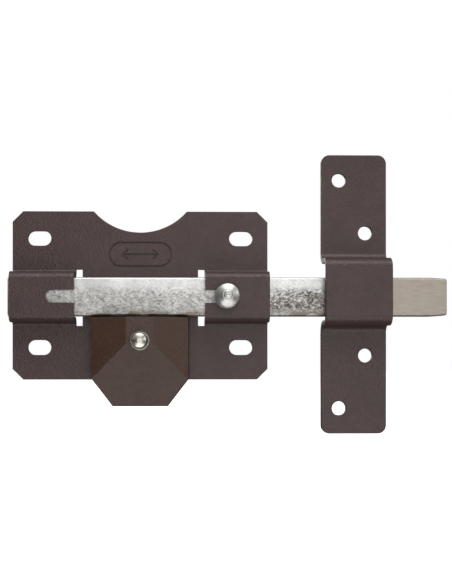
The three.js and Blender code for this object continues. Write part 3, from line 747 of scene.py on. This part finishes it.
# %% Name the facets
RIDGE_HALF, RIDGE_END = 6.2 * MM, -21.9 * MM
COVER_FALL, COVER_DRAFT = 0.31, 0.075
COVER_SHEET, COVER_BACK = 1.5 * MM, 2.8 * MM
COVER_CORNER_Z, COVER_FLOOR_HALF = -38.1 * MM, 13 * MM


def cover_planes():
    """The planes of the cap, each as a point on it and its outward normal."""
    half, front, low = cover_high.x, cover_low.y, cover_low.z
    slant = Vector((half - COVER_FLOOR_HALF, 0, COVER_CORNER_Z - low))
    planes = [
        (Vector((0, front, 0)), Vector((0, -1, 0))),
        (Vector((0, front, RIDGE_END)), Vector((0, -1, -COVER_FALL))),
        (Vector((0, -COVER_BACK, low)), Vector((0, -COVER_DRAFT, -1))),
    ]
    for side in (-1, 1):
        corner = Vector((side * half, -COVER_BACK, COVER_CORNER_Z))
        ridge = Vector((side * RIDGE_HALF, front, 0))
        planes.append((corner, Vector((side * slant.z, -COVER_DRAFT * slant.length, -slant.x))))
        planes.append((corner, Vector((side, -COVER_DRAFT, 0))))
        planes.append((ridge, Vector((side * COVER_FALL, -1, 0))))
    return planes


print("the cover has", len(cover_planes()), "planes")

# %% [markdown]
# The same planes moved in by the sheet's thickness give the hollow, which is taken out of the first
# block. A Solidify modifier would be shorter, but it tears where four facets meet.

# %% Slice the facets
BUTTON_HOLE, COVER_EDGE = 9.2 * MM, 0.45 * MM
HOLE_BACK, HOLE_FRONT = 10 * MM, 20 * MM  # the depths between which the button's hole is cut


def slice_off(solid_mesh, point, normal):
    """Cuts away what lies on the normal's side of a plane, and closes the cut."""
    everything = list(solid_mesh.verts) + list(solid_mesh.edges) + list(solid_mesh.faces)
    cut = bmesh.ops.bisect_plane(
        solid_mesh, geom=everything, dist=1e-8, plane_co=point, plane_no=normal, clear_outer=True
    )["geom_cut"]
    rim = [item for item in cut if isinstance(item, bmesh.types.BMEdge)]
    bmesh.ops.edgeloop_fill(solid_mesh, edges=rim)


def cover_solid(inset, top, back):
    room = Vector((2 * MM, 2 * MM, 2 * MM))
    low, high = cover_low - room, cover_high + room
    cap = block_tool(low, (high.x, -back, top))
    for point, normal in cover_planes():
        slice_off(cap, point - normal.normalized() * inset, normal)
    return cap


lock_cover = make_object(cover_solid(0, cover_high.z, COVER_BACK), "pressed_cover")
combine(lock_cover, cover_solid(COVER_SHEET, cover_high.z + 2 * MM, COVER_BACK - MM))
combine(lock_cover, round_tool(0, AXIS_Z, HOLE_BACK, HOLE_FRONT, BUTTON_HOLE, sides=64))
for side in (-1, 1):
    for tab_height in TAB_HEIGHTS:
        combine(lock_cover, tab_tool(side, tab_height, 0, TAB_BACK, COVER_BACK + MM), "UNION")
soften(lock_cover, COVER_EDGE, segments=3, angle=12)
stand_in_for(lock_cover, "lock_cover", "lock", COVER_ENAMEL)

# %% [markdown]
# ## Slide bolt
# A bar with well-rounded long edges and a lead-in at its tip. Bar is drawn through a die, so its section
# never changes: one block is enough, sliced near the tip so that only the end is scaled in to make the
# lead-in. Its long edges are picked out and bevelled first, because they are rounder than the rest. Two
# blind pockets are milled in the lower edge, where the locking pawl goes in.

# %% Shape the bar
TAPER, TIP_LENGTH = 0.5 * MM, 7 * MM
BAR_ROUND, BAR_EDGE = 1.2 * MM, 0.5 * MM

bar = block_tool(bolt_low, bolt_high)
everything = list(bar.verts) + list(bar.edges) + list(bar.faces)
bmesh.ops.bisect_plane(bar, geom=everything, plane_co=(bolt_high.x - TIP_LENGTH, 0, 0), plane_no=ACROSS)
tip = [vert for vert in bar.verts if vert.co.x > bolt_high.x - MM]
bmesh.ops.scale(bar, vec=(1, 1, 1 - TAPER / bolt_high.z), verts=tip)
long_edges = [edge for edge in bar.edges if abs(edge.verts[0].co.x - edge.verts[1].co.x) > MM]
bmesh.ops.bevel(
    bar, geom=long_edges, offset=BAR_ROUND, offset_type="OFFSET", segments=6, profile=0.5,
    affect="EDGES", material=-1,
)
slide_bolt = make_object(bar, "bolt_bar")
print("bar:", round((bolt_high.x - bolt_low.x) / MM, 1), "mm long")

# %% [markdown]
# One pocket is over the pawl when the bolt is thrown and the other when it is drawn back, so they lie
# as far apart as the bolt travels, and the frame's joint says how far that is.

# %% Mill the pockets
POCKET_HALF, POCKET_DEPTH, POCKET_RISE = 5.3 * MM, 3.3 * MM, 3.5 * MM
POCKET_ROOM = 0.3 * MM
TRAVEL = -frame["joints"][0]["range_m"][0]

pawl_low, pawl_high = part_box("locking_pawl")
for pocket_x in (0, TRAVEL):
    combine(slide_bolt, block_tool(
        (pocket_x - POCKET_HALF, pawl_low.y - POCKET_ROOM, bolt_low.z - MM),
        (pocket_x + POCKET_HALF, pawl_low.y + POCKET_DEPTH, pawl_high.z + POCKET_RISE),
    ))
soften(slide_bolt, BAR_EDGE, segments=4, angle=50)
stand_in_for(slide_bolt, "slide_bolt", "bolt", ZINC)

# %% [markdown]
# ## Turned pieces
# A lathe makes a piece by turning a profile, and so does spin. Each profile is a short chain of
# points, each a radius and a depth, drawn from the centre of the face to the back and spun a full
# turn with its ends merged. Sharp corners are then bevelled a little. Stacked cylinders would leave
# hidden faces inside, which a spun profile never does.

# %% Make the lathe
TURN_STEPS = 72


def turn_profile(name, profile, x, z, round_by):
    lathe = bmesh.new()
    previous = None
    for radius, depth in profile:
        vert = lathe.verts.new((x + radius, -depth, z))
        if previous is not None:
            lathe.edges.new((previous, vert))
        previous = vert
    geometry = list(lathe.verts) + list(lathe.edges)
    bmesh.ops.spin(
        lathe, geom=geometry, cent=(x, 0, z), axis=(0, 1, 0), dvec=(0, 0, 0),
        angle=2 * math.pi, steps=TURN_STEPS, use_merge=True, use_duplicate=False,
    )
    piece = make_object(lathe, name)
    if round_by:
        soften(piece, round_by, segments=3, angle=24)
    shade(piece)
    return piece


print("a full turn is drawn in", TURN_STEPS, "steps")

# %% [markdown]
# The knob is what the hand pulls: a sloping face with a ring and a centre mark left by the lathe, a
# groove behind it, a wide grip, and a neck down to a foot that is bored for the stud. One profile holds
# all of it, so the shape can be read off the list from the face to the back.

# %% Turn the knob
BORE, BORE_DEPTH = 3 * MM, 3.5 * MM  # for the knob's stud

knob_radius = (knob_high.x - knob_low.x) / 2
knob_back, knob_front = -knob_high.y, -knob_low.y
face_radius = knob_radius - 0.35 * MM
groove_radius = face_radius - 0.7 * MM
neck_radius = knob_radius - 1 * MM
knob = turn_profile("turned_knob", [
    # the face
    (0, knob_front - 0.55 * MM),
    (0.55 * MM, knob_front - 0.1 * MM),
    (1.8 * MM, knob_front - 0.4 * MM),
    (2.1 * MM, knob_front - 0.7 * MM),
    (2.4 * MM, knob_front - 0.55 * MM),
    (face_radius, knob_front - 1.7 * MM),
    (face_radius, knob_front - 2.3 * MM),
    # the groove and the grip
    (groove_radius, knob_front - 2.7 * MM),
    (groove_radius, knob_front - 3.4 * MM),
    (knob_radius, knob_front - 3.7 * MM),
    (knob_radius, knob_front - 5.2 * MM),
    # the neck and the foot
    (neck_radius, knob_front - 6.4 * MM),
    (neck_radius, knob_back + 1.6 * MM),
    (knob_radius, knob_back + 0.8 * MM),
    (knob_radius, knob_back),
    (BORE, knob_back),
    (BORE, knob_back + BORE_DEPTH),
    (0, knob_back + BORE_DEPTH),
], KNOB_X, 0, round_by=0.18 * MM)
stand_in_for(knob, "bolt_knob", "bolt", KNOB_NICKEL)

# %% [markdown]
# The washer under the knob is a ring, so its profile closes on itself and never reaches the axis. It
# takes the knob's finish, because both were plated together.

# %% Turn the washer
washer_low, washer_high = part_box("knob_washer")
washer_radius = (washer_high.x - washer_low.x) / 2
washer = turn_profile("turned_washer", [
    (BORE, -washer_low.y),
    (washer_radius, -washer_low.y),
    (washer_radius, -washer_high.y),
    (BORE, -washer_high.y),
    (BORE, -washer_low.y),
], KNOB_X, 0, round_by=0.2 * MM)
stand_in_for(washer, "knob_washer", "bolt", KNOB_NICKEL)

# %% [markdown]
# The button has a small domed head outside the cover, a wider collar inside it, so that it can't fall
# out, and a cone at the back that lifts the pawl as the button goes in.

# %% Turn the button
HEAD_RADIUS, COLLAR_RADIUS, CONE_END = 3.75 * MM, 4.8 * MM, 0.8 * MM
COLLAR_FRONT = 13.9 * MM

button_low, button_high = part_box("push_button")
button_front, button_back = -button_low.y, -button_high.y
cone_length = COLLAR_RADIUS - CONE_END  # 45 degrees
button = turn_profile("turned_button", [
    (0, button_front - 0.35 * MM),
    (0.5 * MM, button_front),
    (1.2 * MM, button_front - 0.1 * MM),
    (3.2 * MM, button_front - 0.9 * MM),
    (HEAD_RADIUS, button_front - 1.6 * MM),
    (HEAD_RADIUS, COLLAR_FRONT),
    (COLLAR_RADIUS, COLLAR_FRONT),
    (COLLAR_RADIUS, button_back + cone_length),
    (CONE_END, button_back),
    (0, button_back),
], 0, AXIS_Z, round_by=0.15 * MM)
stand_in_for(button, "push_button", "button", BUTTON_NICKEL)

# %% [markdown]
# ## Key cylinder
# On the other side of the door the key cylinder ends in a flange with a loose rosette under it. The
# body is made as a workshop makes it: turned first, then bored for the plug, then slotted along its top
# for the pins. Doing it in that order keeps every cut a plain round or square tool.

# %% Turn and cut the cylinder
BODY_RADIUS, PLUG_BORE, FLANGE_THICK = 11.5 * MM, 6.5 * MM, 3 * MM
TAIL_BORE, BORE_END = 4.9 * MM, -2 * MM
FLANGE_CHAMFER = 0.8 * MM

body_front, body_back = -body_low.y, -body_high.y
flange_radius = (body_high.x - body_low.x) / 2
cylinder = turn_profile("cylinder_shell", [
    (0, body_front),
    (BODY_RADIUS, body_front),
    (BODY_RADIUS, body_back + FLANGE_THICK),
    (flange_radius, body_back + FLANGE_THICK),
    (flange_radius, body_back + FLANGE_CHAMFER),
    (flange_radius - FLANGE_CHAMFER, body_back),
    (0, body_back),
], 0, BODY_Z, round_by=0)
combine(cylinder, round_tool(0, AXIS_Z, body_back - MM, BORE_END, 2 * PLUG_BORE, sides=64))
combine(cylinder, round_tool(0, AXIS_Z, BORE_END - MM, body_front + MM, 2 * TAIL_BORE, sides=48))
cap_low, cap_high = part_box("pin_chamber_cap")
cap_room = Vector((0.15 * MM, 0.2 * MM, 3 * MM))
combine(cylinder, block_tool(cap_low - cap_room, cap_high + cap_room))
soften(cylinder, 0.25 * MM, segments=3, angle=40)
stand_in_for(cylinder, "cylinder_body", "lock", BODY_BRASS)

# %% [markdown]
# The rosette is a plate ring that hides the edge of the hole in the door. Like the washer it is a closed
# profile, with one sloping face.

# %% Turn the rosette
ROSETTE_BORE, ROSETTE_RIM, ROSETTE_SLOPE = 11.8 * MM, 1.2 * MM, 1.6 * MM

rosette_low, rosette_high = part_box("outer_rosette")
rosette_radius = (rosette_high.x - rosette_low.x) / 2
near, far = -rosette_low.y, -rosette_high.y
rosette = turn_profile("door_rosette", [
    (ROSETTE_BORE, near),
    (rosette_radius, near),
    (rosette_radius, far + ROSETTE_RIM),
    (rosette_radius - ROSETTE_SLOPE, far),
    (ROSETTE_BORE, far),
    (ROSETTE_BORE, near),
], 0, BODY_Z, round_by=0.3 * MM)
stand_in_for(rosette, "outer_rosette", "lock", BODY_BRASS)

# %% [markdown]
# The plug turns in the cylinder and carries the keyway: one tall narrow cut and one small side cut,
# which stands for the ward that keeps a wrong key out.

# %% Turn the plug and cut the keyway
TAIL_RADIUS, NECK_RADIUS = 2.6 * MM, 4.6 * MM
TAIL_START, NECK_END, PLUG_CHAMFER = 3.6 * MM, -2.3 * MM, 0.6 * MM
KEYWAY_Y = 4 * MM  # where the keyway starts, inside the door
KEYWAY_HALF, KEYWAY_DOWN, KEYWAY_UP = 1.1 * MM, 8 * MM, 2.8 * MM
WARD_NEAR, WARD_FAR, WARD_DOWN, WARD_UP = 0.3 * MM, 2 * MM, 1.2 * MM, -0.2 * MM

plug_radius = (plug_high.x - plug_low.x) / 2
plug_front, plug_back = -plug_low.y, -plug_high.y
plug = turn_profile("key_plug", [
    (0, plug_front),
    (TAIL_RADIUS, plug_front),
    (TAIL_RADIUS, TAIL_START),
    (NECK_RADIUS, TAIL_START),
    (NECK_RADIUS, NECK_END),
    (plug_radius, NECK_END),
    (plug_radius, plug_back + PLUG_CHAMFER),
    (plug_radius - PLUG_CHAMFER, plug_back),
    (0, plug_back),
], 0, AXIS_Z, round_by=0)
combine(plug, block_tool(
    (-KEYWAY_HALF, KEYWAY_Y, AXIS_Z - KEYWAY_DOWN),
    (KEYWAY_HALF, plug_high.y + MM, AXIS_Z + KEYWAY_UP),
))
combine(plug, block_tool(
    (WARD_NEAR, KEYWAY_Y, AXIS_Z - WARD_DOWN),
    (WARD_FAR, plug_high.y + MM, AXIS_Z + WARD_UP),
))
soften(plug, 0.15 * MM, segments=2, angle=40)
stand_in_for(plug, "cylinder_plug", "plug", PLUG_BRASS)

# %% [markdown]
# ## Inner works
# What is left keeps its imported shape, because it is small or hidden: the pawl and its bracket, the
# cam, the pins and the springs. Each gets its own metal, brass for what touches the key and steel for
# the rest.

# %% Finish the inner works
BRASS_NODES = ("pin_chamber_cap", "key_pin")
finished = 0
for name, node in frame["nodes"].items():
    if node.hide_render:
        continue
    node.data.materials.clear()
    node.data.materials.append(PLUG_BRASS if name.startswith(BRASS_NODES) else STEEL)
    finished += 1
print("inner pieces finished:", finished)

# %% [markdown]
# ## Floor
# A pale floor lies below the lock, and a glow of its own keeps it as white as the background. It is kept
# out of the pieces' own light and casts no shadow on them: a lamp below it lights their undersides
# instead, because a lamp's power can be set without changing how white the floor looks.

# %% Lay the floor
FLOOR_GAP, FLOOR_SIZE = 34 * MM, 3
FLOOR_Z = cad_box[0].z - FLOOR_GAP


def pale_floor():
    material, tree, shader = new_material("pale_floor")
    shader.inputs["Base Color"].default_value = (0.86, 0.86, 0.86, 1)
    shader.inputs["Roughness"].default_value = 0.9
    shader.inputs["Emission Color"].default_value = (1, 1, 1, 1)
    shader.inputs["Emission Strength"].default_value = 0.95
    return material


floor_mesh = bmesh.new()
bmesh.ops.create_grid(floor_mesh, x_segments=1, y_segments=1, size=FLOOR_SIZE)
bmesh.ops.translate(floor_mesh, vec=(0, 0, FLOOR_Z), verts=floor_mesh.verts)
floor = make_object(floor_mesh, "studio_floor")
floor.data.materials.append(pale_floor())
floor.visible_diffuse = False
floor.visible_glossy = False
floor.visible_shadow = False
floor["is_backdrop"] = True
print("floor at", round(FLOOR_Z / MM, 1), "mm")

# %% [markdown]
# ## Lights
# Large lights far away are soft, as on a cloudy day. One in front of the lock is mirrored by every
# face that looks straight ahead, and is just narrow enough that the cover's side facets miss it and
# show their own brown. One above draws the bright line along each bend. Weaker ones lift the
# undersides, as a white table would, and the back and the right.

# %% Hang the lights
LIT = Vector((0.03, 0, 0))


def soft_light(name, place, size, power):
    light = bpy.data.lights.new(name, "AREA")
    light.shape = "RECTANGLE"
    light.size, light.size_y = size
    light.energy = power
    lamp = bpy.data.objects.new(name, light)
    lamp.location = place
    lamp.rotation_euler = (LIT - Vector(place)).to_track_quat("-Z", "Y").to_euler()
    bpy.context.scene.collection.objects.link(lamp)
    print(name, power, "W")


soft_light("front_softbox", (0.18, -1.4, 0.02), (0.95, 0.9), 5.9)
soft_light("top_softbox", (0.1, -0.6, 1.1), (1.2, 0.7), 13)
soft_light("table_bounce", (0.1, -0.8, -0.75), (1.2, 0.6), 5.6)
soft_light("back_softbox", (-0.5, 1.2, 0.5), (0.9, 0.9), 6)
soft_light("right_softbox", (0.9, -0.8, 0.25), (0.3, 0.4), 1.6)

# %% [markdown]
# ## Surround
# Metal looks like what it mirrors, so the surround matters as much as the lights. It is grey above and
# below and dark in a narrow belt at eye level, which draws the dark wedges on the knob and the button.
# The lock alone sees it: the camera's own rays meet plain white instead.

# %% Paint the surround
BELT = [(0.36, grey(0.24)), (0.45, grey(0.05)), (0.53, grey(0.05)), (0.64, grey(0.45))]

world = bpy.data.worlds.new("surround")
world.use_nodes = True
bpy.context.scene.world = world
sky = world.node_tree
backdrop = sky.nodes["Background"]
backdrop.inputs["Color"].default_value = (1, 1, 1, 1)
backdrop.inputs["Strength"].default_value = 1.0
direction = add_node(sky, "ShaderNodeTexCoord").outputs["Generated"]
upward = add_node(sky, "ShaderNodeSeparateXYZ", {"Vector": direction}).outputs["Z"]
shades = ramp(sky, amount(sky, upward, -1, 1), BELT)
surround = add_node(sky, "ShaderNodeBackground", {"Color": shades, "Strength": 0.7})
seen = add_node(sky, "ShaderNodeLightPath").outputs["Is Camera Ray"]
mixed = add_node(sky, "ShaderNodeMixShader", {0: seen, 1: surround.outputs[0], 2: backdrop.outputs[0]})
sky.links.new(mixed.outputs[0], sky.nodes["World Output"].inputs["Surface"])
bpy.context.scene.view_settings.view_transform = "Standard"
print("surround painted in", len(BELT), "greys")

# %% [markdown]
# ## Camera
# The lock is seen squarely from the front, from a little left of its middle and below the bolt, so
# that the raised pieces lean to the upper right. Turning the camera to face the middle would squeeze
# the far side, so the lens is shifted instead, which moves the view and keeps the plate square.

# %% Place the camera
CAMERA_PLACE = Vector((13.6 * MM, -427.1 * MM, -26.0 * MM))
CAMERA_AIM = Vector((22.5 * MM, 0, -24.85 * MM))

camera_data = bpy.data.cameras.new("camera")
camera_data.lens = 55.5
camera_data.shift_x = 0.065
camera_data.shift_y = 0.1
camera_data.clip_start = 0.01
camera = bpy.data.objects.new("camera", camera_data)
camera.location = CAMERA_PLACE
camera.rotation_euler = (CAMERA_AIM - CAMERA_PLACE).to_track_quat("-Z", "Y").to_euler()
bpy.context.scene.collection.objects.link(camera)
bpy.context.scene.camera = camera
print("camera at", [round(v, 4) for v in camera.location])

# %% Print the boxes and finish
visual_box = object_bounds()
for label, (low, high) in (("cad", cad_box), ("visual", visual_box)):
    print(label, [round(v / MM, 2) for v in low], [round(v / MM, 2) for v in high])
